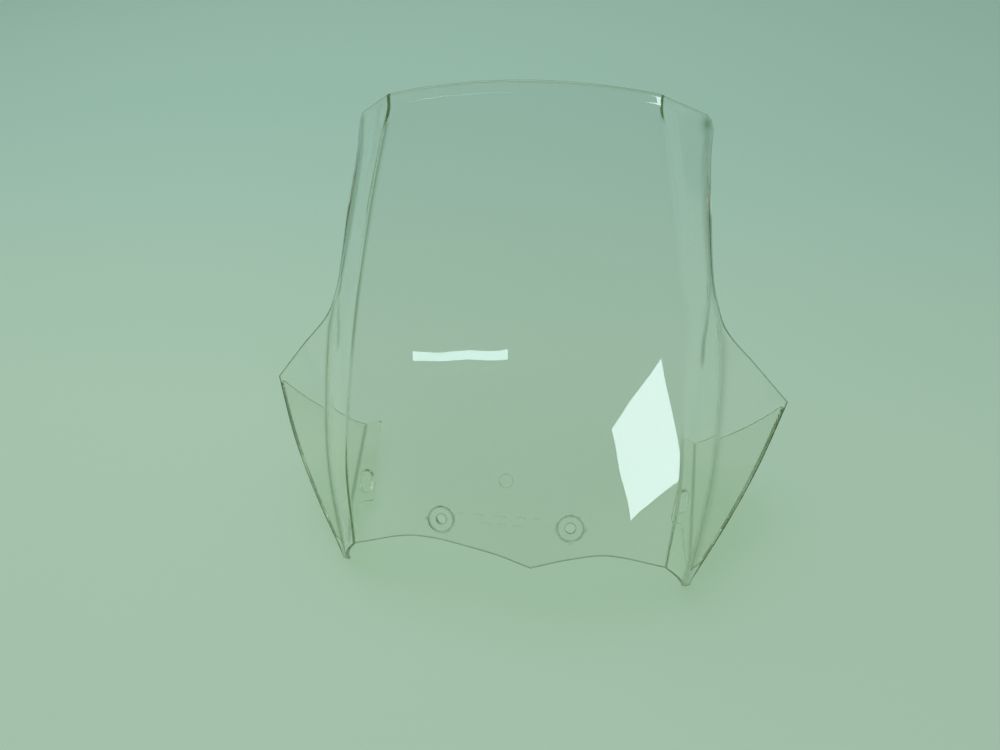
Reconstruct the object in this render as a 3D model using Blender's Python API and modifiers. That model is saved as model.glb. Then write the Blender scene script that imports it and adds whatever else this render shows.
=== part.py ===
"""A clear motorcycle windscreen: one thin bent shell and two bonded side brackets.

Everything is drawn in the panel's own frame: X to the right, Y up along the panel and
Z forward, out of its front face. The empty screen_frame leans that frame back to the
attitude in which the screen stands on its two lower horns.
"""
import math

import bmesh
import bpy
from mathutils import Matrix, Vector

MM = 0.001

# Attitude and origin: the middle of the footprint, on the ground.
LEAN = math.radians(54.0)
FOOTPRINT_MIDDLE_Y = 99.12 * MM
FOOT_DROP = 2.6 * MM

# Sheet thicknesses, and the bond line between a bracket and the shell.
WALL = 3.0 * MM
BRACKET_WALL = 2.8 * MM
BOND_GAP = 0.5 * MM

# Lines that the shell bends about, on its right side, from bottom to top, in millimetres.
CREASE = [(117.4, 27.0, 41.0), (124.0, 95.0, 42.0), (117.8, 206.0, 41.0),
          (105.8, 300.0, 39.5), (96.4, 359.4, 40.0)]
WALL_LINE = [(129.5, 12.5, 22.0), (139.0, 95.0, 27.0), (136.5, 190.0, 28.0),
             (137.0, 225.0, 19.0), (133.5, 270.0, 10.0), (131.2, 327.0, -9.0),
             (132.0, 357.6, -14.5)]
BEND = [(135.2, -2.0, -0.5), (143.0, 38.0, 5.5), (149.2, 86.0, 9.0), (152.4, 142.0, 4.5),
        (151.6, 186.0, 1.0), (147.0, 208.0, 4.5), (141.0, 232.0, 10.5), (136.3, 280.0, 5.5),
        (134.6, 327.0, -13.5), (136.8, 355.0, -24.0)]
EDGE_BELOW_TIP = [(138.6, 1.0, 0.5), (165.0, 49.0, -5.5), (188.1, 94.5, -16.5),
                  (210.0, 142.4, -36.0)]
EDGE_ABOVE_TIP = [(210.0, 142.4, -36.0), (179.7, 173.0, -14.0), (155.8, 197.6, -1.5),
                  (147.5, 216.0, 2.0), (141.9, 237.0, 6.5), (138.4, 280.0, 1.0),
                  (137.6, 327.0, -19.0), (139.3, 350.0, -29.5)]

# Bottom edge of the centre panel, as height over share of its half width. It rises in two
# unequal arches to clear two unequal headlamps, and dips to a point between them.
BOTTOM_LEFT = [(-1.0, 27.0), (-0.56, 40.5), (-0.10, 34.0), (0.17, 24.5)]
BOTTOM_RIGHT = [(0.17, 24.5), (0.40, 32.0), (0.64, 35.6), (1.0, 27.0)]
WALL_CURVED, WALL_FLAT = 0.50, 0.72
TOP_RISE = 7.6
CROWN_BOTTOM = 17.0
CROWN_TOP = 8.5

# How finely the loft is divided.
ROWS_BELOW_TIP = 11
ROWS_ABOVE_TIP = 16
CENTRE_COLUMNS_LEFT = 10
CENTRE_COLUMNS_RIGHT = 7
WALL_COLUMNS = 6
WING_COLUMNS = 4
ROUND_SEGMENTS = 40

# Seats of the two front pivot screws.
PIVOT_X = 47.4 * MM
PIVOT_Y = 55.5 * MM
PIVOT_HOLE_RADIUS = 3.75 * MM
PIVOT_SEAT_RADIUS = 9.5 * MM
PIVOT_SEAT_DEPTH = 1.2 * MM
PIVOT_PAD_RADIUS = 11.0 * MM
PIVOT_PAD_DEPTH = 4.2 * MM

# Side brackets: a web along the wing's edge, bent along a fold into a slotted foot. The
# fold's points are in millimetres, from the horn to the rear.
FOLD = [(138.0, 9.0, -5.5), (140.8, 33.8, -22.0), (144.9, 64.3, -56.3),
        (148.9, 94.8, -90.5)]
WEB_INSET = 3.0 * MM
WEB_FIRST_ROW = 0.04
WEB_LAST_ROW = 0.985
WEB_TOP_SAG = 0.045
WEB_COLUMNS = 4
FOOT_SLOPE = math.radians(36.0)
FOOT_ORIGIN = 1
FOOT_COLUMNS = 3

# The foot's outline, in millimetres: how far along the fold a row starts, how far it
# reaches inward, and how far along the fold its inner end lies.
FOOT_ROWS = [(-35.0, 1.0, -35.0), (-18.0, 5.0, -18.0), (0.0, 8.0, 0.0), (10.0, 8.6, 10.0),
             (13.5, 11.0, 14.2), (15.5, 16.0, 15.6), (17.5, 20.9, 18.0),
             (30.0, 19.5, 30.0), (46.0, 17.4, 47.0), (62.0, 16.6, 65.0),
             (77.0, 15.6, 84.0), (91.9, 14.5, 103.0)]
SLOT_ALONG = 33.6 * MM
SLOT_FROM_FOLD = 10.4 * MM
SLOT_LENGTH = 22.0 * MM
SLOT_WIDTH = 9.0 * MM
COLLAR_MARGIN = 3.6 * MM
COLLAR_HEIGHT = 4.4 * MM

CLEAR_COLOUR = (0.80, 0.90, 0.82, 1.0)
CLEAR_ROUGHNESS = 0.04


# Scene set-up

def clear_scene():
    for old in list(bpy.data.objects):
        bpy.data.objects.remove(old, do_unlink=True)


def new_collection(name):
    made = bpy.data.collections.new(name)
    bpy.context.scene.collection.children.link(made)
    return made


def clear_plastic(name):
    made = bpy.data.materials.new(name)
    made.use_nodes = True
    shader = made.node_tree.nodes["Principled BSDF"]
    shader.inputs["Base Color"].default_value = CLEAR_COLOUR
    shader.inputs["Roughness"].default_value = CLEAR_ROUGHNESS
    shader.inputs["Metallic"].default_value = 0.0
    return made


def screen_frame():
    """The empty that leans the panel's frame back and stands it on the ground."""
    frame = bpy.data.objects.new("screen_frame", None)
    frame.rotation_euler = (LEAN, 0.0, 0.0)
    frame.location = (0.0, -FOOTPRINT_MIDDLE_Y, FOOT_DROP)
    bpy.context.scene.collection.objects.link(frame)
    return frame


def place(mesh, name, group, frame, matrix=Matrix()):
    made = bpy.data.objects.new(name, mesh)
    group.objects.link(made)
    made.parent = frame
    made.matrix_local = matrix
    return made


# Curves and lofts

def on_curve(points, along, value):
    """The point of a smooth curve where coordinate number `along` has this value."""
    index = 0
    while index < len(points) - 2 and points[index + 1][along] < value:
        index += 1
    start, end = Vector(points[index]), Vector(points[index + 1])
    before = Vector(points[max(index - 1, 0)])
    after = Vector(points[min(index + 2, len(points) - 1)])
    span = end[along] - start[along]
    leaving = (end - before) / (end[along] - before[along]) * span
    arriving = (after - start) / (after[along] - start[along]) * span
    part = (value - start[along]) / span
    square, cube = part ** 2, part ** 3
    return (start * (2 * cube - 3 * square + 1) + leaving * (cube - 2 * square + part)
            + end * (3 * square - 2 * cube) + arriving * (cube - square))


def on_line(points, share):
    """The point at a share of the height of a line, in metres."""
    low, high = points[0][1], points[-1][1]
    return on_curve(points, 1, low + (high - low) * share) * MM


def arc_point(first, middle, last, share):
    """A point on the smooth arc that passes through three points."""
    knee = (middle - first).length
    knee /= knee + (last - middle).length
    return (first * (share - knee) * (share - 1) / knee
            + middle * share * (share - 1) / (knee * (knee - 1))
            + last * share * (share - knee) / (1 - knee))


def wall_point(first, middle, last, share):
    """A point of a side wall: curved low down, and flat up to its rim higher up."""
    knee = (middle - first).length
    knee /= knee + (last - middle).length
    if share < knee:
        flat = first.lerp(middle, share / knee)
    else:
        flat = middle.lerp(last, (share - knee) / (1 - knee))
    part = min(max((knee - WALL_CURVED) / (WALL_FLAT - WALL_CURVED), 0.0), 1.0)
    curved = arc_point(first, middle, last, share)
    return curved.lerp(flat, part * part * (3 - 2 * part))


def loft_mesh(name, rows):
    """A sheet through rows of points, each row from left to right, from bottom to top."""
    shape = bmesh.new()
    grid = [[shape.verts.new(point) for point in row] for row in rows]
    for lower, upper in zip(grid, grid[1:]):
        for column in range(len(lower) - 1):
            shape.faces.new((lower[column], lower[column + 1],
                             upper[column + 1], upper[column]))
    mesh = bpy.data.meshes.new(name)
    shape.to_mesh(mesh)
    shape.free()
    return mesh


# The shell's surface

TIP_ROW = ((EDGE_BELOW_TIP[-1][1] - EDGE_BELOW_TIP[0][1])
           / (EDGE_ABOVE_TIP[-1][1] - EDGE_BELOW_TIP[0][1]))


def row_shares():
    below = [TIP_ROW * row / ROWS_BELOW_TIP for row in range(ROWS_BELOW_TIP)]
    above = [TIP_ROW + (1 - TIP_ROW) * row / ROWS_ABOVE_TIP
             for row in range(ROWS_ABOVE_TIP + 1)]
    return below + above


def edge_point(share):
    if share < TIP_ROW:
        return on_line(EDGE_BELOW_TIP, share / TIP_ROW)
    return on_line(EDGE_ABOVE_TIP, (share - TIP_ROW) / (1 - TIP_ROW))


def centre_point(across, share):
    """A point of the crowned centre panel, `across` being -1 and 1 at its creases."""
    crease = on_line(CREASE, share)
    arches = BOTTOM_LEFT if across < BOTTOM_LEFT[-1][0] else BOTTOM_RIGHT
    bottom = on_curve(arches, 0, across)[1]
    top = CREASE[-1][1] + TOP_RISE * (1 - across ** 2)
    crown = CROWN_BOTTOM + (CROWN_TOP - CROWN_BOTTOM) * share
    return Vector((crease.x * across, (bottom + (top - bottom) * share) * MM,
                   crease.z + crown * (1 - across ** 2) * MM))


def side_points(share):
    """The right side's points in one row, from just outside the crease to the edge."""
    crease, bend = on_line(CREASE, share), on_line(BEND, share)
    line, edge = on_line(WALL_LINE, share), edge_point(share)
    wall = [wall_point(crease, line, bend, column / WALL_COLUMNS)
            for column in range(1, WALL_COLUMNS + 1)]
    wing = [bend.lerp(edge, column / WING_COLUMNS) for column in range(1, WING_COLUMNS + 1)]
    return wall + wing


def mirrored(point):
    return Vector((-point.x, point.y, point.z))


def shell_row(share):
    dip = BOTTOM_LEFT[-1][0]
    left = [-1 + (dip + 1) * column / CENTRE_COLUMNS_LEFT
            for column in range(CENTRE_COLUMNS_LEFT)]
    right = [dip + (1 - dip) * column / CENTRE_COLUMNS_RIGHT
             for column in range(CENTRE_COLUMNS_RIGHT + 1)]
    side = side_points(share)
    return ([mirrored(point) for point in reversed(side)]
            + [centre_point(across, share) for across in left + right] + side)


# Solid tools

def thicken(piece, thickness, offset):
    solid = piece.modifiers.new("wall", "SOLIDIFY")
    solid.thickness = thickness
    solid.offset = offset
    solid.use_even_offset = True


def boolean(piece, tool, operation):
    step = piece.modifiers.new(tool.name, "BOOLEAN")
    step.operation = operation
    step.solver = "EXACT"
    step.object = tool


def hide_tool(tool):
    tool.hide_render = True
    tool.display_type = "WIRE"


def cylinder(name, radius, low, high, tools, frame, matrix):
    """A round tool standing on its own Z axis between two heights."""
    shape = bmesh.new()
    bmesh.ops.create_cone(shape, cap_ends=True, segments=ROUND_SEGMENTS, radius1=radius,
                          radius2=radius, depth=high - low,
                          matrix=Matrix.Translation((0.0, 0.0, (low + high) / 2)))
    mesh = bpy.data.meshes.new(name)
    shape.to_mesh(mesh)
    shape.free()
    tool = place(mesh, name, tools, frame, matrix)
    hide_tool(tool)
    return tool


def rounded_outline(corners):
    """Outline points from corners (x, y, radius), listed anticlockwise."""
    outline = []
    for index, (x, y, radius) in enumerate(corners):
        corner = Vector((x, y))
        before = Vector(corners[index - 1][:2]) - corner
        after = Vector(corners[(index + 1) % len(corners)][:2]) - corner
        half_angle = before.angle(after) / 2
        centre = corner + ((before.normalized() + after.normalized()).normalized()
                           * radius / math.sin(half_angle))
        start = corner + before.normalized() * radius / math.tan(half_angle) - centre
        sweep = math.pi - 2 * half_angle
        steps = max(2, round(ROUND_SEGMENTS * sweep / math.tau))
        for step in range(steps + 1):
            turned = start.copy()
            turned.rotate(Matrix.Rotation(sweep * step / steps, 2))
            outline.append(centre + turned)
    return outline


def plate(name, corners, thickness, tools, frame, matrix):
    """A flat tool of a rounded outline, centred on its own XY plane."""
    outline = rounded_outline(corners)
    curve = bpy.data.curves.new(name, "CURVE")
    curve.dimensions = "2D"
    curve.fill_mode = "BOTH"
    curve.extrude = thickness / 2
    spline = curve.splines.new("POLY")
    spline.points.add(len(outline) - 1)
    for point, (x, y) in zip(spline.points, outline):
        point.co = (x, y, 0.0, 1.0)
    spline.use_cyclic_u = True
    drawn = bpy.data.objects.new(name + "_outline", curve)
    bpy.context.scene.collection.objects.link(drawn)
    bpy.context.view_layer.update()
    mesh = bpy.data.meshes.new_from_object(
        drawn.evaluated_get(bpy.context.evaluated_depsgraph_get()))
    bpy.data.objects.remove(drawn, do_unlink=True)
    shape = bmesh.new()
    shape.from_mesh(mesh)
    bmesh.ops.remove_doubles(shape, verts=shape.verts, dist=0.01 * MM)
    bmesh.ops.recalc_face_normals(shape, faces=shape.faces)
    shape.to_mesh(mesh)
    shape.free()
    tool = place(mesh, name, tools, frame, matrix)
    hide_tool(tool)
    return tool


def stadium(length, width):
    """Corners of a slot's outline, its length along Y."""
    x, y, radius = width / 2, length / 2, width / 2 * 0.999
    return [(-x, -y, radius), (x, -y, radius), (x, y, radius), (-x, y, radius)]


# The sub-parts

def pivot_matrix(side):
    """The frame of a pivot seat: its origin on the front face, Z out of the face."""
    share = 0.09
    across = side * PIVOT_X / on_line(CREASE, share).x
    below, above = centre_point(across, 0.0), centre_point(across, 1.0)
    share = (PIVOT_Y - below.y) / (above.y - below.y)
    here = centre_point(across, share)
    step = 0.01
    along_x = centre_point(across + step, share) - centre_point(across - step, share)
    along_x.y = 0.0
    up = centre_point(across, share + step) - here
    out = along_x.cross(up).normalized()
    right = along_x.normalized()
    turn = Matrix((right, out.cross(right), out)).transposed().to_4x4()
    return Matrix.Translation(here) @ turn


def build_shell(parts, tools, frame, look):
    mesh = loft_mesh("screen_shell", [shell_row(share) for share in row_shares()])
    shell = place(mesh, "screen_shell", parts, frame)
    thicken(shell, WALL, -1.0)
    for side, label in ((-1, "left"), (1, "right")):
        seat = pivot_matrix(side)
        pad = cylinder("pivot_pad_" + label, PIVOT_PAD_RADIUS, -PIVOT_PAD_DEPTH,
                       -WALL / 2, tools, frame, seat)
        recess = cylinder("pivot_recess_" + label, PIVOT_SEAT_RADIUS, -PIVOT_SEAT_DEPTH,
                          WALL, tools, frame, seat)
        hole = cylinder("pivot_hole_" + label, PIVOT_HOLE_RADIUS, -3 * WALL, 3 * WALL,
                        tools, frame, seat)
        boolean(shell, pad, "UNION")
        boolean(shell, recess, "DIFFERENCE")
        boolean(shell, hole, "DIFFERENCE")
    mesh.materials.append(look)
    return shell


def web_start(share):
    """A point behind the wing's edge, where the bracket's web is bonded to it."""
    bend, edge = on_line(BEND, share), edge_point(share)
    outward = (edge - bend).normalized()
    step = 0.01
    rise = (edge_point(share + step / 2) - edge_point(share - step / 2)).normalized()
    front = outward.cross(rise).normalized()
    return edge - outward * WEB_INSET - front * (WALL + BOND_GAP + BRACKET_WALL * 0.15)


def bracket_row(along_fold, reach, along_inner):
    """One row of the right bracket, from the foot's inner edge to the wing's edge."""
    matrix = foot_matrix()
    inward, along = -matrix.col[0].to_3d(), matrix.col[1].to_3d()
    low, high = FOLD[0][1] * MM, FOLD[-1][1] * MM
    height = FOLD[FOOT_ORIGIN][1] * MM + along_fold * MM * along.y
    share = min(max((height - low) / (high - low), 0.0), 1.0)
    fold = on_line(FOLD, share)
    inner = fold + inward * reach * MM + along * (along_inner - along_fold) * MM
    row = [inner.lerp(fold, column / FOOT_COLUMNS) for column in range(FOOT_COLUMNS)]
    start = web_start(WEB_FIRST_ROW + (TIP_ROW * WEB_LAST_ROW - WEB_FIRST_ROW) * share)
    for column in range(WEB_COLUMNS + 1):
        part = column / WEB_COLUMNS
        sag = WEB_TOP_SAG * share ** 2 * 4 * part * (1 - part)
        sunk = on_line(FOLD, max(share - sag, 0.0))
        row.append(sunk.lerp(start + sunk - fold, part))
    return row


def foot_matrix():
    """The right foot's frame: X out to the fold, Y rearward along it, Z up."""
    front = Vector(FOLD[FOOT_ORIGIN]) * MM
    along = (Vector(FOLD[-1]) * MM - front).normalized()
    to_panel = Matrix.Rotation(-LEAN, 3, "X")
    outward = to_panel @ Vector((math.cos(FOOT_SLOPE), 0.0, math.sin(FOOT_SLOPE)))
    outward = (outward - along * outward.dot(along)).normalized()
    turn = Matrix((outward, along, outward.cross(along))).transposed().to_4x4()
    return Matrix.Translation(front) @ turn


def mirror_matrix(matrix, side):
    """The same frame on either side, kept right-handed."""
    if side > 0:
        return matrix
    flip = Matrix.Diagonal((-1.0, 1.0, 1.0, 1.0))
    return flip @ matrix @ flip


def build_bracket(side, label, parts, tools, frame, look):
    name = label + "_side_bracket"
    rows = [bracket_row(*row) for row in FOOT_ROWS]
    if side < 0:
        rows = [[mirrored(point) for point in reversed(row)] for row in rows]
    mesh = loft_mesh(name, rows)
    bracket = place(mesh, name, parts, frame)
    thicken(bracket, BRACKET_WALL, 0.0)
    centre = Matrix.Translation((-SLOT_FROM_FOLD, SLOT_ALONG, 0.0))
    slot_at = mirror_matrix(foot_matrix() @ centre, side)
    collar = plate("collar_" + label, stadium(SLOT_LENGTH + 2 * COLLAR_MARGIN,
                   SLOT_WIDTH + 2 * COLLAR_MARGIN), COLLAR_HEIGHT, tools, frame, slot_at)
    slot = plate("slot_" + label, stadium(SLOT_LENGTH, SLOT_WIDTH), 3 * COLLAR_HEIGHT,
                 tools, frame, slot_at)
    boolean(bracket, collar, "UNION")
    boolean(bracket, slot, "DIFFERENCE")
    mesh.materials.append(look)
    return bracket


def main():
    clear_scene()
    parts, tools = new_collection("windscreen"), new_collection("cutters")
    frame = screen_frame()
    build_shell(parts, tools, frame, clear_plastic("screen_shell"))
    for side, label in ((-1, "left"), (1, "right")):
        look = clear_plastic(label + "_side_bracket")
        build_bracket(side, label, parts, tools, frame, look)


main()
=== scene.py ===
"""A clear motorcycle windscreen: the looks of its shell and side brackets, and the scene.

Shapes are drawn in the panel's own frame, in millimetres: X to the right, Y up along the
panel and Z forward out of its front face. to_world leans that frame back into the row's.
"""
import math

import bpy
import numpy as np
from mathutils import Matrix, Vector


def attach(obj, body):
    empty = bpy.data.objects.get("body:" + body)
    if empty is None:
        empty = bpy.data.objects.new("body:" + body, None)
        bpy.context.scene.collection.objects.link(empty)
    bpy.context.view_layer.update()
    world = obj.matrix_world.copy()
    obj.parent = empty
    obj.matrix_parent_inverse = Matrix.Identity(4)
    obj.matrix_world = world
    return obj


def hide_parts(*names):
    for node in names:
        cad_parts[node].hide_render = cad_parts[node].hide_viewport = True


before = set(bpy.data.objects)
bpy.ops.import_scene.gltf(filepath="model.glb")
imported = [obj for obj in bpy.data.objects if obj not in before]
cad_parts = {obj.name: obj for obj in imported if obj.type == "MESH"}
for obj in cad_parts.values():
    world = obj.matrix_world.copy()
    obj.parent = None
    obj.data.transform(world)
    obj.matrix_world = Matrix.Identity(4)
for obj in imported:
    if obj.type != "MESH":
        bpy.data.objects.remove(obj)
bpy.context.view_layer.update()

MM = 0.001
LEAN = math.radians(54.0)
ORIGIN = np.array((0.0, -99.12, 2.6))

WALL, RIM = 3.0, 0.9
BRACKET_WALL, BRACKET_RIM = 2.8, 0.8
RIM_STEPS = 6

# Lines that the shell bends about, on its right side, from bottom to top.
CREASE = [(117.4, 27.0, 41.0), (124.0, 95.0, 42.0), (117.8, 206.0, 41.0),
          (105.8, 300.0, 39.5), (96.4, 359.4, 40.0)]
WALL_LINE = [(129.5, 12.5, 22.0), (139.0, 95.0, 27.0), (136.5, 190.0, 28.0),
             (137.0, 225.0, 19.0), (133.5, 270.0, 10.0), (131.2, 327.0, -9.0),
             (132.0, 357.6, -14.5)]
BEND = [(135.2, -2.0, -0.5), (143.0, 38.0, 5.5), (149.2, 86.0, 9.0), (152.4, 142.0, 4.5),
        (151.6, 186.0, 1.0), (147.0, 208.0, 4.5), (141.0, 232.0, 10.5), (136.3, 280.0, 5.5),
        (134.6, 327.0, -13.5), (136.8, 355.0, -24.0)]
EDGE_BELOW_TIP = [(138.6, 1.0, 0.5), (165.0, 49.0, -5.5), (188.1, 94.5, -16.5),
                  (210.0, 142.4, -36.0)]
EDGE_ABOVE_TIP = [(210.0, 142.4, -36.0), (179.7, 173.0, -14.0), (155.8, 197.6, -1.5),
                  (147.5, 216.0, 2.0), (141.9, 237.0, 6.5), (138.4, 280.0, 1.0),
                  (137.6, 327.0, -19.0), (139.3, 350.0, -29.5)]
BOTTOM_LEFT = [(-1.0, 27.0), (-0.56, 40.5), (-0.10, 34.0), (0.17, 24.5)]
BOTTOM_RIGHT = [(0.17, 24.5), (0.40, 32.0), (0.64, 35.6), (1.0, 27.0)]
WALL_CURVED, WALL_FLAT, WALL_SOFT = 0.50, 0.72, 2.0
TOP_RISE = 7.6
CROWN_BOTTOM = 17.0
CROWN_TOP = 8.5
TIP_ROW = (EDGE_BELOW_TIP[-1][1] - EDGE_BELOW_TIP[0][1]) / (
    EDGE_ABOVE_TIP[-1][1] - EDGE_BELOW_TIP[0][1])

# Seats of the two front pivot screws.
PIVOT_X, PIVOT_Y = 47.4, 55.5
PIVOT_HOLE, PIVOT_SEAT, PIVOT_PAD = 3.75, 9.5, 11.0
SEAT_DEPTH, PAD_DEPTH = 1.2, 4.2

# The right bracket's fold, its web, and its foot: how far along the fold a row starts,
# how far it reaches inward, and how far along the fold its inner end lies.
FOLD = [(138.0, 9.0, -5.5), (140.8, 33.8, -22.0), (144.9, 64.3, -56.3), (148.9, 94.8, -90.5)]
BOND_GAP = 0.5
WEB_INSET = 1.2
WEB_FIRST_ROW, WEB_LAST_ROW = 0.04, 0.985
WEB_TOP_SAG = 0.045
FOOT_SLOPE = math.radians(36.0)
FOOT_ROWS = [(-35.0, 1.0, -35.0), (-18.0, 5.0, -18.0), (0.0, 8.0, 0.0), (10.0, 8.6, 10.0),
             (13.5, 11.0, 14.2), (15.5, 16.0, 15.6), (17.5, 20.9, 18.0), (30.0, 19.5, 30.0),
             (46.0, 17.4, 47.0), (62.0, 16.6, 65.0), (77.0, 15.6, 84.0), (91.9, 14.5, 103.0)]
SLOT_ALONG, SLOT_FROM_FOLD = 33.6, 10.4
SLOT_LENGTH, SLOT_WIDTH = 22.0, 9.0
COLLAR_MARGIN, COLLAR_HEIGHT = 1.3, 3.6

# The plain marks between the seats: a ring, and rows of bars by their height, each bar with
# its place and its length.
RING_PLACE = (0.0, 88.0)
BAR_ROWS = [(61.0, [(-33.0, 2.6), (-20.0, 6.0), (-4.0, 7.0), (12.0, 5.0), (23.0, 3.0)]),
            (55.0, [(-14.0, 5.0), (-2.0, 4.0), (9.0, 5.0)])]

# A faint line of painted shade in the side walls: heights, and how far inward of the wings' bend
# it runs.
KNEE_LINE = [(175.0, 190.0, 196.0, 204.0, 211.0, 219.0, 224.0, 239.0),
             (34.8, 34.2, 32.6, 27.2, 22.0, 15.0, 12.0, 2.5)]


# Curves

def curve(points, along):
    """A smooth curve through points, as a function of one of their coordinates."""
    knots = np.array(points, float)
    x = knots[:, along]
    slope = np.zeros_like(knots)
    slope[1:-1] = (knots[2:] - knots[:-2]) / (x[2:] - x[:-2])[:, None]
    slope[0] = (knots[1] - knots[0]) / (x[1] - x[0])
    slope[-1] = (knots[-1] - knots[-2]) / (x[-1] - x[-2])

    def at(value):
        value = np.asarray(value, float)
        i = np.clip(np.searchsorted(x, value, side="right") - 1, 0, len(x) - 2)
        span = (x[i + 1] - x[i])[..., None]
        t = (value[..., None] - x[i][..., None]) / span
        return (knots[i] * (2 * t ** 3 - 3 * t ** 2 + 1)
                + slope[i] * span * (t ** 3 - 2 * t ** 2 + t)
                + knots[i + 1] * (3 * t ** 2 - 2 * t ** 3)
                + slope[i + 1] * span * (t ** 3 - t ** 2))
    return at


def line(points):
    """The same curve over the share of its height."""
    at = curve(points, 1)
    low, high = points[0][1], points[-1][1]
    return lambda share: at(low + (high - low) * np.asarray(share, float))


crease_at = curve(CREASE, 1)
bottom_left = curve(BOTTOM_LEFT, 0)
bottom_right = curve(BOTTOM_RIGHT, 0)
crease_line, wall_line, bend_line = line(CREASE), line(WALL_LINE), line(BEND)
edge_below, edge_above = line(EDGE_BELOW_TIP), line(EDGE_ABOVE_TIP)


def smooth(low, high, value):
    t = np.clip((value - low) / (high - low), 0.0, 1.0)
    return t * t * (3 - 2 * t)


def edge_line(share):
    share = np.asarray(share, float)
    below = edge_below(np.clip(share / TIP_ROW, 0, 1))
    above = edge_above(np.clip((share - TIP_ROW) / (1 - TIP_ROW), 0, 1))
    return np.where((share < TIP_ROW)[..., None], below, above)


def centre_height(x, y):
    """Z of the crowned centre panel's front face."""
    y = np.asarray(y, float)
    low, high = CREASE[0][1], CREASE[-1][1]
    crease = crease_at(np.clip(y, low, high + 9))
    part = (y - low) / (high - low)
    crown = CROWN_BOTTOM + (CROWN_TOP - CROWN_BOTTOM) * part
    return crease[..., 2] + crown * (1 - (x / crease[..., 0]) ** 2)


def centre_points(across, share):
    """Points of the centre panel, `across` being -1 and 1 at its creases."""
    across, share = np.broadcast_arrays(np.asarray(across, float), np.asarray(share, float))
    left = bottom_left(np.clip(across, -1, BOTTOM_LEFT[-1][0]))[..., 1]
    right = bottom_right(np.clip(across, BOTTOM_RIGHT[0][0], 1))[..., 1]
    bottom = np.where(across < BOTTOM_LEFT[-1][0], left, right)
    top = CREASE[-1][1] + TOP_RISE * (1 - across ** 2)
    y = bottom + (top - bottom) * share
    x = crease_at(np.minimum(y, CREASE[-1][1] + 9))[..., 0] * across
    return np.stack((x, y, centre_height(x, y)), -1)


def side_walls(first, middle, last, share):
    """Side walls through three points a row: curved low down, flat to a bend higher up."""
    length = np.linalg.norm(middle - first, axis=-1) + np.linalg.norm(last - middle, axis=-1)
    knee = np.linalg.norm(middle - first, axis=-1) / length
    flat_part = smooth(WALL_CURVED, WALL_FLAT, knee)[:, None, None]
    soft = np.minimum(WALL_SOFT / length, (1 - knee) * 0.9)[:, None, None]
    knee, share = knee[:, None, None], share[None, :, None]
    first, middle, last = first[:, None], middle[:, None], last[:, None]
    curved = (first * (share - knee) * (share - 1) / knee
              + middle * share * (share - 1) / (knee * (knee - 1))
              + last * share * (share - knee) / (1 - knee))
    past = share - knee
    past = np.where(past > soft, past, np.where(past > -soft, (past + soft) ** 2 / (4 * soft), 0))
    flat = first + (middle - first) / knee * (share - past) + (last - middle) / (1 - knee) * past
    return curved + (flat - curved) * flat_part


# Meshes

def to_panel(points):
    turned = np.array(points, float) / MM - ORIGIN
    y, z = turned[..., 1].copy(), turned[..., 2].copy()
    turned[..., 1] = y * math.cos(LEAN) + z * math.sin(LEAN)
    turned[..., 2] = z * math.cos(LEAN) - y * math.sin(LEAN)
    return turned


def to_world(points):
    turned = np.array(points, float)
    y, z = turned[..., 1].copy(), turned[..., 2].copy()
    turned[..., 1] = y * math.cos(LEAN) - z * math.sin(LEAN)
    turned[..., 2] = y * math.sin(LEAN) + z * math.cos(LEAN)
    return (turned + ORIGIN) * MM


def unit(vectors):
    return vectors / np.maximum(np.linalg.norm(vectors, axis=-1, keepdims=True), 1e-12)


def grid_normals(grid):
    """Unit normals of a grid of points whose rows run left to right, bottom to top."""
    across = np.gradient(grid, axis=1)
    up = np.gradient(grid, axis=0)
    return unit(np.cross(across, up))


def near(fine, coarse, length):
    """Distances from 0 to length, close together at the start."""
    steps = [0.0]
    step = fine
    while steps[-1] + step < length:
        steps.append(steps[-1] + step)
        step = min(step * 1.22, coarse)
    return np.array(steps + [length])


def both_ends(fine, coarse, length):
    half = near(fine, coarse, length / 2)
    return np.concatenate((half, (length - half[::-1])[1:]))


def round_bend(rows, index, reach):
    """Rounds the corner at one column of every row over this distance to each side."""
    steps = np.linalg.norm(np.diff(rows, axis=1), axis=2)
    along = np.concatenate((np.zeros((len(rows), 1)), np.cumsum(steps, axis=1)), axis=1)
    along -= along[:, index:index + 1]
    reach = np.broadcast_to(np.asarray(reach, float), (len(rows),))
    done = rows.copy()
    for row in range(len(rows)):
        d = min(reach[row], -along[row, 0] * 0.98 + 1e-9, along[row, -1] * 0.98)
        if d <= 0.01:
            continue
        ends = [np.array([np.interp(side * d, along[row], rows[row, :, k]) for k in range(3)])
                for side in (-1, 1)]
        inside = np.abs(along[row]) < d
        t = ((along[row, inside] + d) / (2 * d))[:, None]
        done[row, inside] = (ends[0] * (1 - t) ** 2 + rows[row, index] * 2 * t * (1 - t)
                             + ends[1] * t ** 2)
    return done


def make_object(name, points, faces, material, dark=0.0):
    """A mesh object, `dark` being how much painted rim shade each point takes."""
    mesh = bpy.data.meshes.new(name)
    mesh.from_pydata([tuple(p) for p in to_world(points)], [], faces)
    rim = mesh.attributes.new("rim", "FLOAT", "POINT")
    rim.data.foreach_set("value", np.broadcast_to(dark, (len(points),)).astype(np.float32))
    mesh.update()
    made = bpy.data.objects.new(name, mesh)
    bpy.context.scene.collection.objects.link(made)
    if material:
        mesh.materials.append(material)
    return made


# The shell

def panel_columns():
    """The centre panel's columns, from -1 to 1: closer at its creases and its low point."""
    part = near(0.35, 2.6, PANEL_HALF_WIDTH) / PANEL_HALF_WIDTH
    right = 1 - part
    middle = BOTTOM_RIGHT[0][0]
    return np.unique(np.concatenate((part - 1, 0.022 * np.arange(8), [middle],
                                     right[right > middle + 0.02])))


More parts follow.
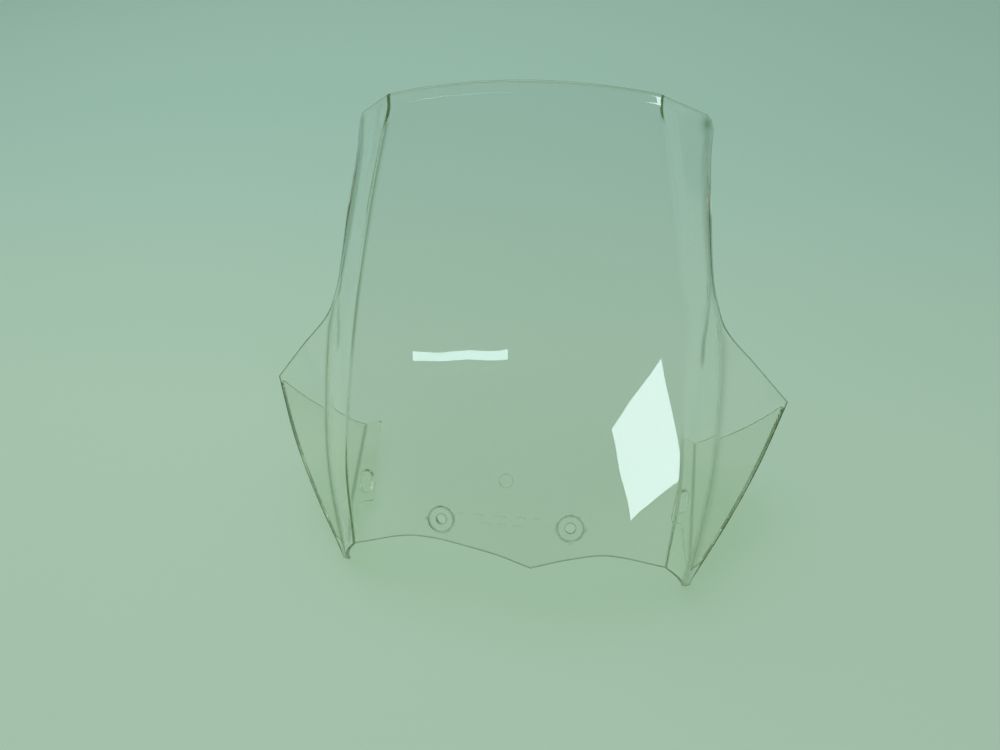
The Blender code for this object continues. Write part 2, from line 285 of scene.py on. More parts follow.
PANEL_HALF_WIDTH = 118.0
ROW_STEP, LOW_LENGTH, LIP_LENGTH = 2.4, 360.0, 345.0
ACROSS = panel_columns()
WALL_SHARES = both_ends(0.35, 1.3, 50.0)[1:] / 50.0
WING_SHARES = both_ends(0.5, 3.0, 60.0)[1:] / 60.0
CREASE_REACH, UPPER_CREASE_REACH, TOP_CREASE_REACH, BEND_REACH = 1.5, 7.0, 2.4, 3.6
LIP, LIP_SOFT, LIP_TURN = 8.6, 2.2, math.radians(14.0)
LIP_EASE, LIP_BACK = 85.0, 2.1
TOP_CORNER = 7.0


def shell_rows():
    """Shares of the height: rows closer at the tips and at the lip's inner line."""
    low = 1 - near(0.5, ROW_STEP, LOW_LENGTH * TIP_ROW) / (LOW_LENGTH * TIP_ROW)
    high = near(0.5, ROW_STEP, LOW_LENGTH * (1 - TIP_ROW)) / LOW_LENGTH
    high = high[high < 1 - TIP_ROW - 15.0 / LIP_LENGTH]
    lip = 1 - (LIP + np.arange(-3.0, 3.1, 0.5)) / LIP_LENGTH
    last = 1 - np.array((5.6, 3.5, 1.7, 0.0)) / LIP_LENGTH
    return np.unique(np.round(np.concatenate((low * TIP_ROW, TIP_ROW + high, lip, last)), 9))


def shell_front():
    """The front face's points, in rows from left to right, from bottom to top."""
    share = shell_rows()
    crease, wall, bend, edge = (f(share) for f in (crease_line, wall_line, bend_line, edge_line))
    walls = side_walls(crease, wall, bend, WALL_SHARES)
    wings = bend[:, None] + (edge - bend)[:, None] * WING_SHARES[None, :, None]
    side = np.concatenate((walls, wings), axis=1)
    mirror = side[:, ::-1] * (-1, 1, 1)
    centre = centre_points(ACROSS[None, :], share[:, None])
    rows = np.concatenate((mirror, centre, side), axis=1)
    walls_n, wings_n, count = len(WALL_SHARES), len(WING_SHARES), rows.shape[1]
    for index in (wings_n, count - 1 - wings_n):
        rows = round_bend(rows, index, BEND_REACH)
    crease_reach = CREASE_REACH + (UPPER_CREASE_REACH - CREASE_REACH) * smooth(0.40, 0.56, share)
    crease_reach += (TOP_CREASE_REACH - UPPER_CREASE_REACH) * smooth(0.92, 0.97, share)
    for index in (wings_n + walls_n, count - 1 - wings_n - walls_n):
        rows = round_bend(rows, index, crease_reach)
    return rolled_lip(rows, share)


def rolled_lip(rows, share):
    """Turns the band along the top edge forward a little, with a soft inner line."""
    steps = np.linalg.norm(np.diff(rows, axis=0), axis=2)
    left = np.concatenate((np.cumsum(steps[::-1], axis=0)[::-1], np.zeros((1, rows.shape[1]))))
    into = LIP - left
    rise = np.where(into > LIP_SOFT, into,
                    np.where(into > -LIP_SOFT, (into + LIP_SOFT) ** 2 / (4 * LIP_SOFT), 0.0))
    rise = rise * math.tan(LIP_TURN) - LIP_BACK * (1 - smooth(LIP, LIP_EASE, left))
    crease = crease_line(share)[:, None, 0]
    rise *= 1 - smooth(1.0, 1.0 + 12.0 / crease, np.abs(rows[..., 0]) / crease)
    return rows + grid_normals(rows) * rise[..., None]


def round_corner(grid, right, radius):
    """Rounds one of the upper corners of a grid of points."""
    flipped = (grid[::-1, ::-1] if right else grid[::-1]).copy()
    up = np.diff(flipped, axis=0)
    over = np.diff(flipped, axis=1)
    rows, columns = flipped.shape[:2]
    rise = np.cumsum(np.linalg.norm(up, axis=2), axis=0)
    rise = np.concatenate((np.zeros((1, columns)), rise))
    run = np.cumsum(np.linalg.norm(over, axis=2), axis=1)
    run = np.concatenate((np.zeros((rows, 1)), run), axis=1)
    u = np.clip((radius - run) / radius, 0, 1)
    v = np.clip((radius - rise) / radius, 0, 1)
    to_u = radius * (u - u * np.sqrt(1 - v * v / 2))
    to_v = radius * (v - v * np.sqrt(1 - u * u / 2))
    over = unit(np.concatenate((over, over[:, -1:]), axis=1))
    up = unit(np.concatenate((up, up[-1:]), axis=0))
    flipped += over * to_u[..., None] + up * to_v[..., None]
    return flipped[::-1, ::-1] if right else flipped[::-1]


def rim_loop(shape):
    """Indices round the border of a grid, anticlockwise seen from the front."""
    rows, columns = shape
    index = np.arange(rows * columns).reshape(rows, columns)
    return np.concatenate((index[0, :], index[1:, -1], index[-1, -2::-1], index[-2:0:-1, 0]))


def inset(grid, rim):
    """Draws the border of a grid of points inward, to leave room for a rounded rim."""
    for turn in range(2):
        lines = []
        for points in grid:
            along = np.cumsum(np.linalg.norm(np.diff(points, axis=0), axis=1))
            along = np.concatenate(([0.0], along))
            reach = min(9.0, along[-1] * 0.45)
            to = along + rim * np.clip(1 - along / reach, 0, 1)
            to -= rim * np.clip(1 - (along[-1] - along) / reach, 0, 1)
            lines.append([np.interp(to, along, points[:, k]) for k in range(3)])
        grid = np.array(lines).transpose(2, 0, 1)
    return grid


def unfolded(back, front):
    """The back surface with the folds taken out that an offset leaves inside a bend."""
    ahead = np.diff(front, axis=1)
    for turn in range(160):
        step = (np.diff(back, axis=1) * ahead).sum(2) / (ahead ** 2).sum(2)
        folded = step < 0.12
        if not folded.any():
            break
        loose = np.zeros(back.shape[:2], bool)
        loose[:, 1:] |= folded
        loose[:, :-1] |= folded
        loose[:, [0, -1]] = False
        moved = (np.roll(back, 1, 1) + np.roll(back, -1, 1)) / 2
        back = np.where(loose[..., None], moved, back)
    return back


def thick_sheet(front, wall, rim, dark, dark_rim):
    """A sheet with a rounded rim behind a grid of front points, as points, faces, painted shade.

    `dark` has the painted shade of its front and its back.
    """
    front = inset(front, rim)
    rows, columns = front.shape[:2]
    normals = grid_normals(front)
    back = unfolded(front - normals * wall, front)
    loop = rim_loop((rows, columns))
    flat_front, flat_back = front.reshape(-1, 3), back.reshape(-1, 3)
    flat_normal = normals.reshape(-1, 3)
    middle = (flat_front + flat_back)[loop] / 2
    along = unit(np.roll(middle, -1, 0) - middle) + unit(middle - np.roll(middle, 1, 0))
    outward = unit(np.cross(along, flat_normal[loop]))
    dark = np.concatenate([face.ravel() for face in dark])
    dark_rim = np.broadcast_to(dark_rim, loop.shape)
    dark[np.concatenate((loop, loop + rows * columns))] = np.tile(dark_rim, 2)
    points = [flat_front, flat_back]
    half = flat_normal[loop] * wall / 2
    count = len(flat_front) * 2
    rings = [loop]
    for step in range(1, RIM_STEPS):
        angle = math.pi * step / RIM_STEPS
        points.append(middle + half * math.cos(angle) + outward * rim * math.sin(angle))
        rings.append(count + np.arange(len(loop)))
        count += len(loop)
    rings.append(loop + rows * columns)
    faces = []
    index = np.arange(rows * columns).reshape(rows, columns)
    quads = np.stack((index[:-1, :-1], index[:-1, 1:], index[1:, 1:], index[1:, :-1]), -1)
    quads = quads.reshape(-1, 4)
    faces += quads.tolist()
    faces += (quads[:, ::-1] + rows * columns).tolist()
    for first, second in zip(rings, rings[1:]):
        strip = np.stack((first, second, np.roll(second, -1), np.roll(first, -1)), -1)
        faces += strip.tolist()
    points = np.concatenate(points)
    dark = np.concatenate((dark, np.tile(dark_rim, RIM_STEPS - 1)))
    return points, faces, dark


def shade(piece, angle=35.0):
    mesh = piece.data
    mesh.polygons.foreach_set("use_smooth", [True] * len(mesh.polygons))
    mesh.set_sharp_from_angle(angle=math.radians(angle))


# Tools that add to a sheet or cut it

def turned(profile, place, segments=72):
    """A closed solid turned from (radius, height) points, listed upward, about an axis."""
    middle, axes = place
    angles = np.linspace(0, math.tau, segments, endpoint=False)
    rings = [middle + axes[2] * profile[0][1]]
    for radius, height in profile:
        rings += [middle + axes[0] * radius * math.cos(t) + axes[1] * radius * math.sin(t)
                  + axes[2] * height for t in angles]
    rings.append(middle + axes[2] * profile[-1][1])
    faces = []
    last = len(rings) - 1
    for k in range(segments):
        nxt = (k + 1) % segments
        faces.append((0, 1 + nxt, 1 + k))
        faces.append((last, last - segments + k, last - segments + nxt))
        for row in range(len(profile) - 1):
            low, high = 1 + row * segments, 1 + (row + 1) * segments
            faces.append((low + k, low + nxt, high + nxt, high + k))
    return np.array(rings), faces


def stadium_solid(profile, place, length, segments=28):
    """The same from (inset radius, height) points round a slot's outline."""
    middle, axes = place
    half = length / 2
    outline = []
    for end in (1, -1):
        for t in np.linspace(0, math.pi, segments):
            outline.append((end * math.cos(t), end * math.sin(t), end * half))
    rings = [middle + axes[2] * profile[0][1]]
    for radius, height in profile:
        rings += [middle + axes[0] * radius * x + axes[1] * (radius * y + shift)
                  + axes[2] * height for x, y, shift in outline]
    rings.append(middle + axes[2] * profile[-1][1])
    count, last, faces = len(outline), len(rings) - 1, []
    for k in range(count):
        nxt = (k + 1) % count
        faces.append((0, 1 + nxt, 1 + k))
        faces.append((last, last - count + k, last - count + nxt))
        for row in range(len(profile) - 1):
            low, high = 1 + row * count, 1 + (row + 1) * count
            faces.append((low + k, low + nxt, high + nxt, high + k))
    return np.array(rings), faces


def merge(solids):
    points, faces, count = [], [], 0
    for some, sides in solids:
        points.append(some)
        faces += [tuple(i + count for i in side) for side in sides]
        count += len(some)
    return np.concatenate(points), faces


def paint_shade_places(piece, places):
    """Sets the painted shade near each (point test, strength), after all cutting is done."""
    mesh = piece.data
    points = np.empty(len(mesh.vertices) * 3)
    mesh.vertices.foreach_get("co", points)
    points = to_panel(points.reshape(-1, 3))
    dark = np.empty(len(points), np.float32)
    rim = mesh.attributes["rim"].data
    rim.foreach_get("value", dark)
    for test, strength in places:
        dark[test(points)] = strength
    rim.foreach_set("value", dark)


def combine(piece, solids, operation):
    """Adds closed solids to a piece or cuts them from it, and leaves a plain mesh."""
    tool = make_object("tool", *merge(solids), None)
    step = piece.modifiers.new("tool", "BOOLEAN")
    step.operation, step.solver, step.object = operation, "EXACT", tool
    graph = bpy.context.evaluated_depsgraph_get()
    mesh = bpy.data.meshes.new_from_object(piece.evaluated_get(graph))
    piece.modifiers.clear()
    old, name = piece.data, piece.data.name
    piece.data = mesh
    bpy.data.meshes.remove(old)
    mesh.name = name
    bpy.data.meshes.remove(tool.data)


def rounded(radius, low, high, fillet, flare=0.0):
    """A profile between two heights, rounded below and either rounded or flared above."""
    steps = np.linspace(0, math.pi / 2, 6)
    bottom = [(radius - fillet + fillet * math.sin(t), low + fillet - fillet * math.cos(t))
              for t in steps]
    if flare:
        return bottom + [(radius + flare - flare * math.cos(t),
                          high - flare + flare * math.sin(t)) for t in steps]
    return bottom + [(radius - fillet + fillet * math.cos(t),
                      high - fillet + fillet * math.sin(t)) for t in steps]


# Materials

SCRATCHES = 0.35
# Painted shade: the dark olive that the rim attribute mixes into rims, bends, creases, seats and
# slot ends.
PAINTED_RIM_SHADE = (0.22, 0.32, 0.16, 1.0)
SHADOW_TINT = (0.93, 0.955, 0.915, 1.0)
DEPTH_TINT = (0.50, 0.66, 0.25, 1.0)


def clear_plastic(name, colour, density):
    """Clear polycarbonate with fine wear and painted shade along its rims and bends. Lamps and
    soft light pass straight through.
    """
    made = bpy.data.materials.new(name)
    made.use_nodes = True
    nodes, links = made.node_tree.nodes, made.node_tree.links
    shader = nodes["Principled BSDF"]
    shader.inputs["IOR"].default_value = 1.585
    shader.inputs["Transmission Weight"].default_value = 1.0
    place = nodes.new("ShaderNodeTexCoord")

    def noise(scale, detail, stretch=None):
        source = place.outputs["Object"]
        if stretch:
            turn = nodes.new("ShaderNodeMapping")
            turn.inputs["Scale"].default_value = stretch[0]
            turn.inputs["Rotation"].default_value = stretch[1]
            links.new(source, turn.inputs[0])
            source = turn.outputs[0]
        made_noise = nodes.new("ShaderNodeTexNoise")
        made_noise.inputs["Scale"].default_value = scale
        made_noise.inputs["Detail"].default_value = detail
        links.new(source, made_noise.inputs["Vector"])
        return made_noise.outputs[0]

    def ramp(source, low, high, first, last):
        reach = nodes.new("ShaderNodeMapRange")
        reach.interpolation_type = "SMOOTHSTEP"
        for key, value in (("From Min", low), ("From Max", high), ("To Min", first),
                           ("To Max", last)):
            reach.inputs[key].default_value = value
        links.new(source, reach.inputs["Value"])
        return reach.outputs[0]

    def both(operation, first, second):
        sum_up = nodes.new("ShaderNodeMath")
        sum_up.operation = operation
        links.new(first, sum_up.inputs[0])
        links.new(second, sum_up.inputs[1])
        return sum_up.outputs[0]

    # Hairline scratches along two directions, and a faint haze of handling.
    first_lines = noise(90.0, 2.0, ((1.0, 26.0, 26.0), (0.5, 0.3, 0.7)))
    second_lines = noise(120.0, 2.0, ((22.0, 1.0, 22.0), (0.2, 0.9, -0.4)))
    hair = both("MAXIMUM", ramp(first_lines, 0.70, 0.76, 0.0, 1.0),
                ramp(second_lines, 0.71, 0.77, 0.0, 1.0))
    haze = ramp(noise(14.0, 4.0), 0.45, 0.75, 0.0, 0.022)
    lines = nodes.new("ShaderNodeMath")
    lines.operation = "MULTIPLY"
    lines.inputs[1].default_value = 0.10 * SCRATCHES
    links.new(hair, lines.inputs[0])
    links.new(both("ADD", lines.outputs[0], haze), shader.inputs["Roughness"])

    # The slight waves of a moulded sheet, and the scratches' own depth.
    wave = nodes.new("ShaderNodeBump")
    wave.inputs["Strength"].default_value = 0.05
    wave.inputs["Distance"].default_value = 0.002
    links.new(noise(26.0, 1.0), wave.inputs["Height"])
    nick = nodes.new("ShaderNodeBump")
    nick.inputs["Strength"].default_value = 0.04 * SCRATCHES
    nick.inputs["Distance"].default_value = 0.0004
    nick.invert = True
    links.new(hair, nick.inputs["Height"])
    links.new(wave.outputs[0], nick.inputs["Normal"])
    links.new(nick.outputs[0], shader.inputs["Normal"])

    # Painted shade: the rim attribute paints rims and bends darker and more olive than the sheet
    # between them, where refraction draws dark lines.
    rim = nodes.new("ShaderNodeAttribute")
    rim.attribute_name = "rim"
    rim_shade_mix = nodes.new("ShaderNodeMix")
    rim_shade_mix.data_type = "RGBA"
    links.new(rim.outputs["Fac"], rim_shade_mix.inputs[0])
    rim_shade_mix.inputs[6].default_value = colour
    rim_shade_mix.inputs[7].default_value = PAINTED_RIM_SHADE
    links.new(rim_shade_mix.outputs[2], shader.inputs["Base Color"])

    path = nodes.new("ShaderNodeLightPath")
    straight = nodes.new("ShaderNodeBsdfTransparent")
    straight.inputs["Color"].default_value = SHADOW_TINT
    last = shader.outputs[0]
    for kind in ("Is Shadow Ray", "Is Diffuse Ray"):
        mix = nodes.new("ShaderNodeMixShader")
        links.new(path.outputs[kind], mix.inputs["Fac"])
        links.new(last, mix.inputs[1])
        links.new(straight.outputs[0], mix.inputs[2])
        last = mix.outputs[0]
    links.new(last, nodes["Material Output"].inputs["Surface"])
    absorb = nodes.new("ShaderNodeVolumeAbsorption")
    absorb.inputs["Color"].default_value = DEPTH_TINT
    absorb.inputs["Density"].default_value = density
    links.new(absorb.outputs[0], nodes["Material Output"].inputs["Volume"])
    return made


# The scene

FLOOR_NEAR = (0.60, 0.745, 0.60, 1.0)
FLOOR_FAR = (0.48, 0.67, 0.59, 1.0)
FLOOR_GLOW = (0.17, 0.21, 0.185, 1.0)
CAMERA_PLACE = Vector((0.06826, -0.46193, 0.55452))
CAMERA_RIGHT = Vector((0.9901, 0.1298, -0.0537))
CAMERA_LOOK = Vector((-0.1317, 0.7248, -0.6764))


def make_camera():
    data = bpy.data.cameras.new("camera")
    data.lens = 29.12
    data.sensor_width = 36.0
    data.clip_start = 0.01
    camera = bpy.data.objects.new("camera", data)
    bpy.context.scene.collection.objects.link(camera)
    back = -CAMERA_LOOK.normalized()
    up = back.cross(CAMERA_RIGHT).normalized()
    right = up.cross(back)
    turn = Matrix((right, up, back)).transposed().to_4x4()
    camera.matrix_world = Matrix.Translation(CAMERA_PLACE) @ turn
    bpy.context.scene.camera = camera


def make_floor():
    size = 60.0
    mesh = bpy.data.meshes.new("floor")
    mesh.from_pydata([(-size, -size, 0), (size, -size, 0), (size, size, 0), (-size, size, 0)],
                     [], [(0, 1, 2, 3)])
    floor = bpy.data.objects.new("floor", mesh)
    bpy.context.scene.collection.objects.link(floor)
    made = bpy.data.materials.new("floor_pale")
    made.use_nodes = True
    nodes, links = made.node_tree.nodes, made.node_tree.links
    shader = nodes["Principled BSDF"]
    shader.inputs["Roughness"].default_value = 0.65
    place = nodes.new("ShaderNodeTexCoord")
    split = nodes.new("ShaderNodeSeparateXYZ")
    links.new(place.outputs["Object"], split.inputs[0])
    reach = nodes.new("ShaderNodeMapRange")
    reach.interpolation_type = "SMOOTHSTEP"
    reach.inputs["From Min"].default_value = -0.10
    reach.inputs["From Max"].default_value = 0.80
    links.new(split.outputs["Y"], reach.inputs["Value"])
    mix = nodes.new("ShaderNodeMix")
    mix.data_type = "RGBA"
    links.new(reach.outputs[0], mix.inputs[0])
    mix.inputs[6].default_value = FLOOR_NEAR
    mix.inputs[7].default_value = FLOOR_FAR
    links.new(mix.outputs[2], shader.inputs["Base Color"])
    # Well away from the screen the floor glows a little, where the lamps no longer reach it.
    away = nodes.new("ShaderNodeVectorMath")
    away.operation = "LENGTH"
    links.new(place.outputs["Object"], away.inputs[0])
    glow = nodes.new("ShaderNodeMapRange")
    glow.interpolation_type = "SMOOTHSTEP"
    glow.inputs["From Min"].default_value = 1.7
    glow.inputs["From Max"].default_value = 5.5
    links.new(away.outputs["Value"], glow.inputs["Value"])
    links.new(glow.outputs[0], shader.inputs["Emission Strength"])
    shader.inputs["Emission Color"].default_value = FLOOR_GLOW
    mesh.materials.append(made)


def area_light(name, place, across, towards, size, power, colour):
    """A rectangular lamp whose width lies along `across`, seen only by its light."""
    data = bpy.data.lights.new(name, "AREA")
    data.shape = "RECTANGLE"
    data.size, data.size_y = size
    data.energy = power
    data.color = colour
    lamp = bpy.data.objects.new(name, data)
    bpy.context.scene.collection.objects.link(lamp)
    back = (Vector(place) - Vector(towards)).normalized()
    up = back.cross(Vector(across)).normalized()
    turn = Matrix((up.cross(back), up, back)).transposed().to_4x4()
    lamp.matrix_world = Matrix.Translation(place) @ turn
    lamp.visible_camera = False
    lamp.visible_transmission = max(size) > 2


def make_world():
    """Pale all round near the floor; higher up bright behind the screen, dim before it."""
    world = bpy.data.worlds.new("studio")
    bpy.context.scene.world = world
    world.use_nodes = True
    nodes, links = world.node_tree.nodes, world.node_tree.links
    place = nodes.new("ShaderNodeTexCoord")
    split = nodes.new("ShaderNodeSeparateXYZ")
    links.new(place.outputs["Generated"], split.inputs[0])

    def blend(socket, low, high, first, last):
        reach = nodes.new("ShaderNodeMapRange")
        reach.interpolation_type = "SMOOTHSTEP"
        reach.inputs["From Min"].default_value = low
        reach.inputs["From Max"].default_value = high
        links.new(socket, reach.inputs["Value"])
        mix = nodes.new("ShaderNodeMix")
        mix.data_type = "RGBA"
        links.new(reach.outputs[0], mix.inputs[0])
        for colour, end in ((first, mix.inputs[6]), (last, mix.inputs[7])):
            if isinstance(colour, tuple):
                end.default_value = colour
            else:
                links.new(colour, end)
        return mix.outputs[2]

    above = blend(split.outputs["Y"], -0.35, 0.45, (0.13, 0.17, 0.15, 1), (0.40, 0.54, 0.47, 1))
    colour = blend(split.outputs["Z"], 0.10, 0.42, (0.36, 0.50, 0.42, 1), above)
    links.new(colour, nodes["Background"].inputs["Color"])
    nodes["Background"].inputs["Strength"].default_value = 0.92


# The shell's seats, marks and painted shade

def on_panel(x, y):
    """A point of the centre panel's front face and its axes, the last out of the face."""
    step = 0.5
    here = np.array((x, y, centre_height(x, y)))
    across = np.array((2 * step, 0, centre_height(x + step, y) - centre_height(x - step, y)))
    up = np.array((0, 2 * step, centre_height(x, y + step) - centre_height(x, y - step)))
    across = unit(across)
    out = unit(np.cross(across, up))
    return here, (across, np.cross(out, across), out)


def moulded_marks():
    """A faint ring and two rows of plain bars, raised on the back between the seats."""
    inside = -WALL + 0.3
    low = -WALL - 0.14
    ring, (across, up, out) = on_panel(*RING_PLACE)
    section = [(4.5, inside), (4.7, low), (5.3, low), (5.5, inside)]
    points = [ring + across * r * math.cos(t) + up * r * math.sin(t) + out * h
              for t in np.linspace(0, math.tau, 48, endpoint=False) for r, h in section]
    faces = [(4 * k + j, 4 * ((k + 1) % 48) + j, 4 * ((k + 1) % 48) + (j + 1) % 4,
              4 * k + (j + 1) % 4) for k in range(48) for j in range(4)]
    marks = [(np.array(points), faces)]
    low = -WALL - 0.15
    bar = [(0.55, low), (0.75, low + 0.16), (0.75, inside)]
    for y, bars in BAR_ROWS:
        for x, length in bars:
            here, (across, up, out) = on_panel(x, y)
            marks.append(stadium_solid(bar, (here, (-up, across, out)), length, 8))
    return marks


def distances(grid, index):
    """How far the points of each row lie along it from one of its columns."""
    steps = np.linalg.norm(np.diff(grid, axis=1), axis=2)
    along = np.concatenate((np.zeros((len(grid), 1)), np.cumsum(steps, axis=1)), axis=1)
    return along - along[:, index:index + 1]


def bend_shade(grid, index, reach, strength):
    """Painted shade of the points of a grid that lie this near one of its columns."""
    return strength * np.exp(-(distances(grid, index) / reach) ** 2)


def crease_front_shade(grid, crease):
    """Painted shade: the dark line along the left crease, drawn on the front face only."""
    return bend_shade(grid, crease, 1.2, 1.0) * smooth(150.0, 190.0, grid[..., 1])


def side_shade(grid, left):
    """Painted shade of one side's crease, bend, edge band, top corner and knee line.

    The grid's columns run from that side's edge inward.
    """
    bend, crease = len(WING_SHARES), len(WING_SHARES) + len(WALL_SHARES)
    y = grid[..., 1]
    # Painted shade: the left side's band and lines are painted darker and wider than the right's,
    # where the light falls differently.
    if left:
        band_width, band_strength = 12.0, 0.50
        crease_line = bend_shade(grid, crease, 0.9, 0.4)
        bend_line = bend_shade(grid, bend, 2.4, 0.75) * (1 - 0.6 * smooth(205.0, 225.0, y))
    else:
        band_width, band_strength = 8.0, 0.36
        away = smooth(100.0, 140.0, y) * (1 - smooth(338.0, 350.0, y))
        crease_line = bend_shade(grid, crease, 0.9, 0.6) * (1 - away)
        bend_line = np.maximum(bend_shade(grid, bend, 4.5, 0.28), bend_shade(grid, bend, 0.9, 0.4))
    inward = distances(grid, bend)
    band = smooth(-3.0, 1.0, inward)
    band *= 1 - smooth(band_width - 3.0, band_width + 3.0, inward)
    band = band_strength * band * smooth(200.0, 235.0, y)
    # Painted shade at the top corner, and a painted dark line along the knee.
    corner = 0.75 * np.exp(-((y - 351.0) / 7.0) ** 2 - ((inward - 6.0) / 8.0) ** 2)
    knee = np.interp(y, KNEE_LINE[0], KNEE_LINE[1])
    knee_line = 0.80 * np.exp(-((inward - knee) / 1.3) ** 2)
    knee_line *= smooth(170.0, 182.0, y) * (1 - smooth(228.0, 242.0, y))
    return np.max((crease_line, bend_line, band, corner, knee_line), axis=0)


def build_shell(material):
    front = shell_front()
    for right in (False, True):
        front = round_corner(front, right, TOP_CORNER)
    half = front.shape[1] // 2
    # Painted shade along the creases, bends, edge bands, top corners and knee lines.
    dark = np.concatenate((side_shade(front, True)[:, :half],
                           side_shade(front[:, ::-1], False)[:, ::-1][:, half:]), axis=1)
    border = front.reshape(-1, 3)[rim_loop(front.shape[:2])]
    # Painted shade along the rim, lighter along the top lip.
    dark_rim = 0.70 - 0.35 * smooth(338.0, 348.0, border[:, 1])
    crease = len(WING_SHARES) + len(WALL_SHARES)
    # Painted shade of the left crease's dark line, on the front face only.
    dark_front = np.maximum(dark, crease_front_shade(front, crease))
    points, faces, dark = thick_sheet(front, WALL, RIM, (dark_front, dark), dark_rim)
    shell = make_object("clear_shell", points, faces, material, dark)
    places = [on_panel(side * PIVOT_X, PIVOT_Y) for side in (-1, 1)]
    pad = [(PIVOT_HOLE + 0.8, -PAD_DEPTH)]
    pad += [(PIVOT_PAD - 3.4 * (1 - t), -PAD_DEPTH + 1.35 * t * t * (3 - 2 * t))
            for t in np.linspace(0.0, 1.0, 9)]
    pad += [(PIVOT_PAD, -1.9), (PIVOT_PAD - 2.0, -1.5)]
    combine(shell, [turned(pad, place) for place in places] + moulded_marks(), "UNION")
    seat = [(PIVOT_HOLE + 0.8, -SEAT_DEPTH), (PIVOT_SEAT - 1.6, -SEAT_DEPTH)]
    seat += rounded(PIVOT_SEAT, -SEAT_DEPTH, 0.6, 0.5, 0.4)
    seat.append((PIVOT_SEAT - 2.0, 0.6))
    combine(shell, [turned(seat, place) for place in places], "DIFFERENCE")
    holes = [turned([(PIVOT_HOLE, -8.0), (PIVOT_HOLE, 4.0)], place, 48) for place in places]
    combine(shell, holes, "DIFFERENCE")
    # Painted shade: none on the pads, a dark ring at each seat's edge, darker still in the holes.
    shade_places = []
    for middle, axes in places:
        def radius(points, middle=middle, axes=axes):
            away = points - middle
            return np.hypot(away @ axes[0], away @ axes[1])
        shade_places += [(lambda p, r=radius: r(p) < PIVOT_PAD + 0.5, 0.0),
                  (lambda p, r=radius: np.abs(r(p) - PIVOT_SEAT) < 0.56, 0.45),
                  (lambda p, r=radius: r(p) < PIVOT_HOLE + 0.1, 0.6)]
    paint_shade_places(shell, shade_places)
    shade(shell)
    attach(shell, "root")
    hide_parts("screen_shell")


# The brackets

fold_line = line(FOLD)


def foot_place():
    """The right foot's middle and its axes: out to the fold, rearward, and up."""
    front = np.array(FOLD[1])
    along = unit(np.array(FOLD[-1]) - front)
    tilt = math.sin(FOOT_SLOPE)
    outward = np.array((math.cos(FOOT_SLOPE), tilt * math.sin(LEAN), tilt * math.cos(LEAN)))
    outward = unit(outward - along * outward.dot(along))
    return front, (outward, along, np.cross(outward, along))


def web_start(share):
    """Points behind the wing's edge, where the bracket's web is bonded to it."""
    bend, edge = bend_line(share), edge_line(share)
    outward = unit(edge - bend)
    rise = unit(edge_line(share + 0.005) - edge_line(share - 0.005))
    front = unit(np.cross(outward, rise))
    return edge - outward * WEB_INSET - front * (WALL + BOND_GAP)


def bracket_middle():
    """The right bracket's middle surface, from the foot's inner edge to the wing.

    The second value is the column of the fold.
    """
    knots = np.array(FOOT_ROWS)
    rows = []
    for first, last in zip(knots, knots[1:]):
        reach = max(last[0] - first[0], math.hypot(*(last - first)[1:]))
        count = max(2, int(math.ceil(reach / 0.9)))
        rows += [first + (last - first) * step / count for step in range(count)]
    rows = np.array(rows + [knots[-1]])
    for _ in range(14):
        rows[1:-1, 1:] += (rows[:-2, 1:] + rows[2:, 1:] - 2 * rows[1:-1, 1:]) * 0.25
    _, (outward, along, _) = foot_place()
    low, high = FOLD[0][1], FOLD[-1][1]
    share = np.clip((FOLD[1][1] + rows[:, 0] * along[1] - low) / (high - low), 0, 1)
    fold = fold_line(share)
    inner = fold - outward * rows[:, 1:2] + along * (rows[:, 2] - rows[:, 0])[:, None]
    foot = both_ends(0.4, 1.6, 22.0)[:-1] / 22.0
    foot = inner[:, None] + (fold - inner)[:, None] * foot[None, :, None]
    start = web_start(WEB_FIRST_ROW + (TIP_ROW * WEB_LAST_ROW - WEB_FIRST_ROW) * share)
    part = both_ends(0.4, 2.4, 80.0) / 80.0
    sag = WEB_TOP_SAG * share[:, None] ** 2 * 4 * part * (1 - part)
    web = fold_line(np.maximum(share[:, None] - sag, 0))
    web = web + (start - fold)[:, None] * part[None, :, None]
    return round_bend(np.concatenate((foot, web), axis=1), foot.shape[1], 2.4), foot.shape[1]


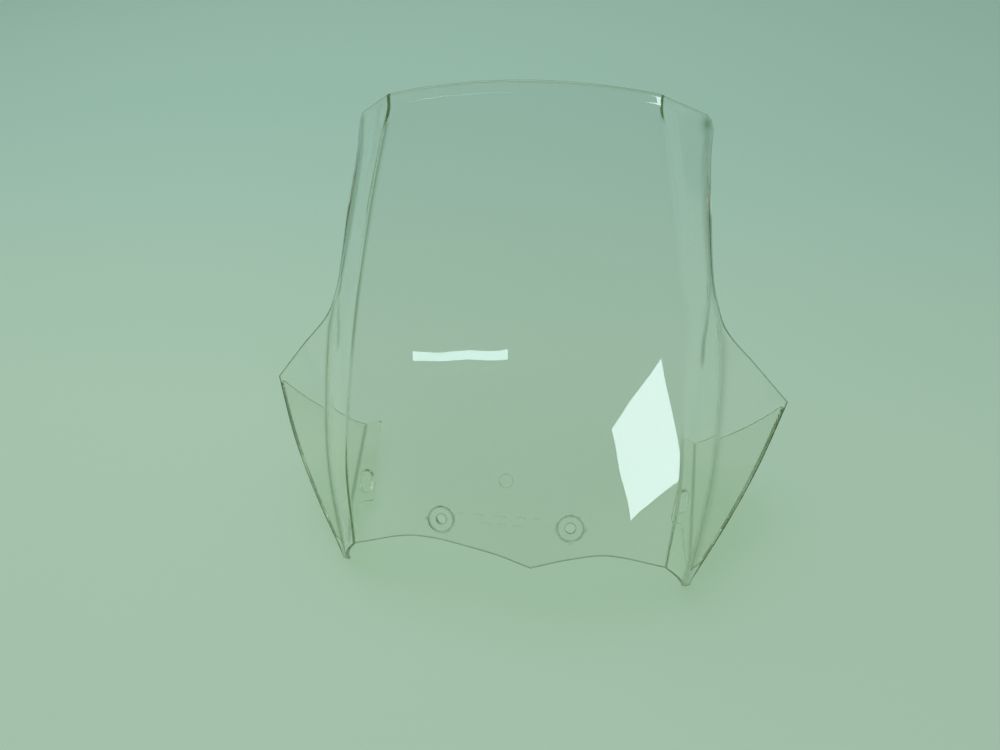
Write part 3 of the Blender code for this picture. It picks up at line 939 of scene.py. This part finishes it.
def build_bracket(side, label, material):
    middle, fold = bracket_middle()
    for right, radius in ((False, 4.0), (True, 3.0)):
        middle = round_corner(middle, right, radius)
    front = middle + grid_normals(middle) * BRACKET_WALL / 2
    # Painted shade along the fold and the rim.
    dark = bend_shade(front, fold, 1.5, 0.6)
    rows, columns = front.shape[:2]
    dark_rim = np.concatenate((np.full(columns, 0.2), np.full(rows - 1, 0.0),
                               np.full(columns - 1, 0.08), np.full(rows - 2, 0.08)))
    points, faces, dark = thick_sheet(front, BRACKET_WALL, BRACKET_RIM, (dark, dark), dark_rim)
    origin, axes = foot_place()
    place = (origin - axes[0] * SLOT_FROM_FOLD + axes[1] * SLOT_ALONG, axes)
    straight = SLOT_LENGTH - SLOT_WIDTH
    half = COLLAR_HEIGHT / 2
    collar = rounded(SLOT_WIDTH / 2 + COLLAR_MARGIN, -half, half, 0.8)
    collar = stadium_solid(collar, place, straight)
    slot = stadium_solid([(SLOT_WIDTH / 2, -9.0), (SLOT_WIDTH / 2, 9.0)], place, straight)
    flip = (side, 1, 1)
    if side < 0:
        faces = [tuple(reversed(face)) for face in faces]
        collar, slot = ((p, [tuple(reversed(f)) for f in fs]) for p, fs in (collar, slot))
    name = "clear_bracket_" + label
    bracket = make_object(name, points * flip, faces, material, dark)
    combine(bracket, [(collar[0] * flip, collar[1])], "UNION")
    combine(bracket, [(slot[0] * flip, slot[1])], "DIFFERENCE")

    def from_slot(points):
        away = points * flip - place[0]
        along = np.maximum(np.abs(away @ axes[1]) - straight / 2, 0)
        return np.hypot(away @ axes[0], along) - SLOT_WIDTH / 2

    def rear_end(points):
        return (from_slot(points) < 0.1) & ((points * flip - place[0]) @ axes[1] > -1.0)
    # Painted shade round the slot, darkest at its rear end.
    paint_shade_places(bracket, [(lambda p: from_slot(p) < COLLAR_MARGIN + 0.3, 0.05),
                          (lambda p: from_slot(p) < 0.1, 0.15), (rear_end, 0.95)])
    shade(bracket)
    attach(bracket, "root")
    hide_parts(label + "_side_bracket")


make_camera()
make_floor()
make_world()
area_light("softbox", (-0.6, 0.6, 2.4), (1, 0, 0), (0, 0, 0), (2.2, 2.2), 27.0, (0.95, 1.0, 0.97))
area_light("window_box", (1.323, -2.527, 1.244), (0.810, 0.513, 0.284), (0.1, -0.06, 0.13),
           (0.610, 0.827), 13.6, (0.88, 1.0, 1.08))
area_light("tube_box", (-0.957, -2.354, 1.754), (0.954, -0.217, 0.208), (-0.04, -0.04, 0.18),
           (1.165, 0.040), 1.15, (0.80, 1.0, 1.04))

build_shell(clear_plastic("clear_polycarbonate", (1.0, 1.0, 1.0, 1.0), 13.0))
bracket_look = clear_plastic("clear_polycarbonate_bracket", (0.955, 0.975, 0.92, 1.0), 6.0)
for side, label in ((-1, "left"), (1, "right")):
    build_bracket(side, label, bracket_look)

bpy.context.scene.view_settings.view_transform = "Standard"
paths = bpy.context.scene.cycles
paths.max_bounces = paths.transmission_bounces = paths.glossy_bounces = 48
paths.transparent_max_bounces = 24
